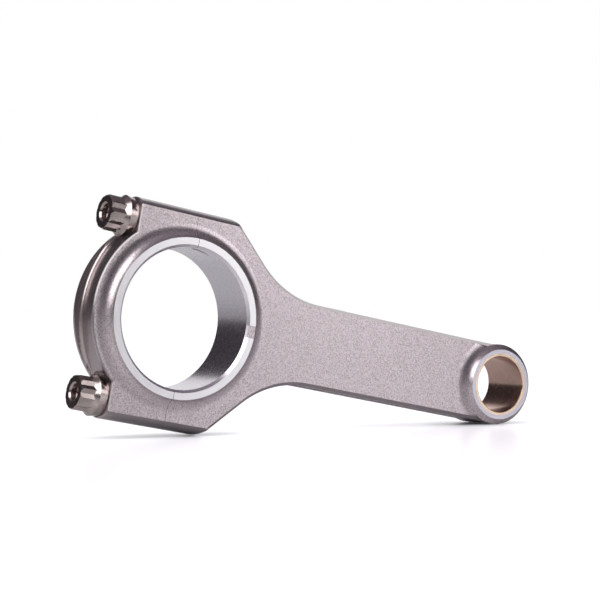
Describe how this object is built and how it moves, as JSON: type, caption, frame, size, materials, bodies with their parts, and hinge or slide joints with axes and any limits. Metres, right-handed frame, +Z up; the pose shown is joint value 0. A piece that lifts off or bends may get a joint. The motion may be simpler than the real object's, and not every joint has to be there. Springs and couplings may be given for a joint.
{
  "type": "connecting rod",
  "caption": "H-section connecting rod with a split, bolted big end, raised thrust rings, hollow locating dowels and a bushed small end.",
  "frame": {"origin": "centre of the big-end bore, half way between its two thrust faces", "axes": "+Z up; +Y along both bores, to the back; +X from the big end towards the small end, level. The rod stands on its lower edge, so the rod axis slopes down about 10.6 degrees from +X"},
  "size_m": [0.1972, 0.0228, 0.0863],
  "materials": {
    "forged_steel": "shot-peened faces with ground thrust rings and honed bores",
    "bush_bronze": "bored bronze",
    "dowel_steel": "ground",
    "bolt_steel": "dark polished alloy steel"
  },
  "bodies": {
    "rod": {"rod": "forged_steel", "bush": "bush_bronze", "dowel_upper": "dowel_steel", "dowel_lower": "dowel_steel"},
    "cap": {"cap": "forged_steel"},
    "bolt_upper": {"bolt_upper": "bolt_steel"},
    "bolt_lower": {"bolt_lower": "bolt_steel"}
  },
  "joints": [
    {"name": "cap_slide", "type": "slide", "parent": "rod", "child": "cap", "axis": [-0.9829, 0, 0.1844], "range_m": [0, 0.03]},
    {"name": "bolt_upper_slide", "type": "slide", "parent": "cap", "child": "bolt_upper", "axis": [-0.9829, 0, 0.1844], "range_m": [0, 0.045]},
    {"name": "bolt_lower_slide", "type": "slide", "parent": "cap", "child": "bolt_lower", "axis": [-0.9829, 0, 0.1844], "range_m": [0, 0.045]}
  ]
}
